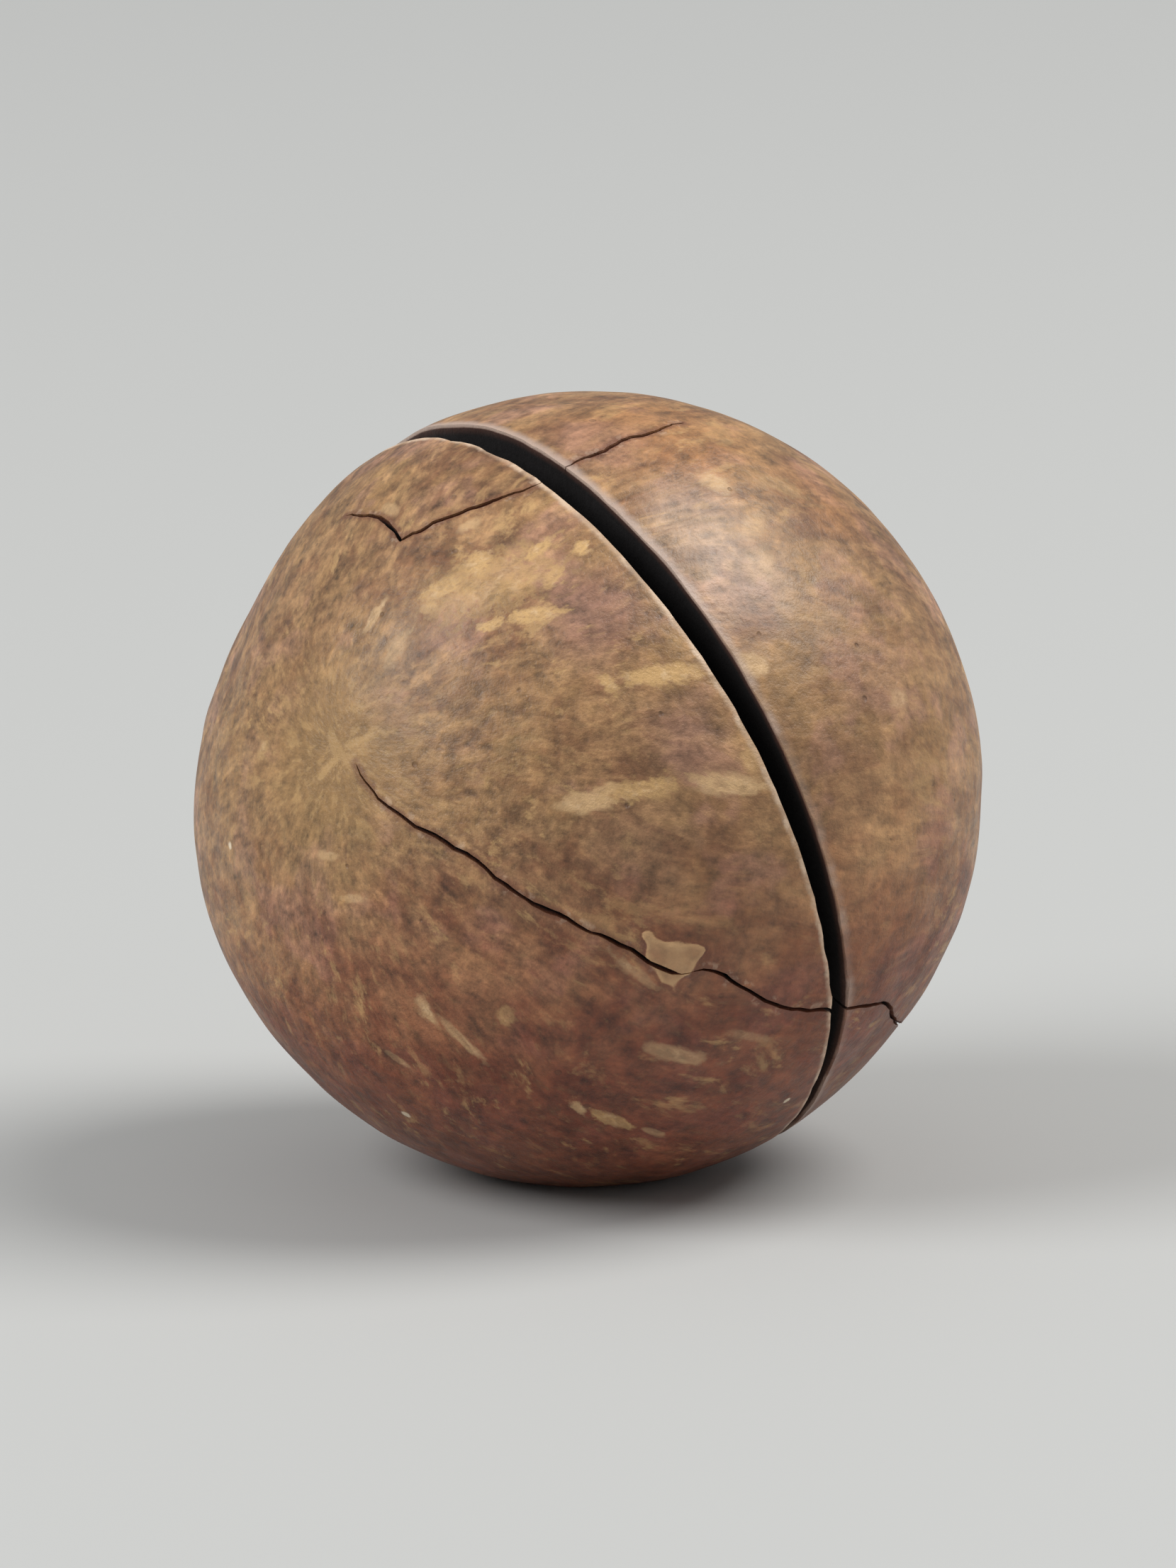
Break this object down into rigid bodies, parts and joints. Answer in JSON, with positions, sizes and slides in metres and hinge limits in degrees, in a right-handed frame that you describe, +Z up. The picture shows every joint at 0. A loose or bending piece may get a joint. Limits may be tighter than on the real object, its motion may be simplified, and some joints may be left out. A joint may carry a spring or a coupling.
{
  "type": "macadamia nut in shell",
  "caption": "Round macadamia nut in its hard brown shell, sawn part of the way round for opening, with fine natural cracks and a small flat to rest on.",
  "frame": {"origin": "middle of the nut's bounding box, on the surface that it rests on", "axes": "+Z up from the flat that it rests on, -Y towards the side with the saw cut that the picture shows, +X to that view's right"},
  "size_m": [0.0248, 0.025, 0.0247],
  "materials": {
    "shell": "satin taupe-brown woody shell with golden flecks, fine dark cracks and a near-black saw cut"
  },
  "bodies": {
    "root": {"nut": "shell"}
  },
  "joints": []
}
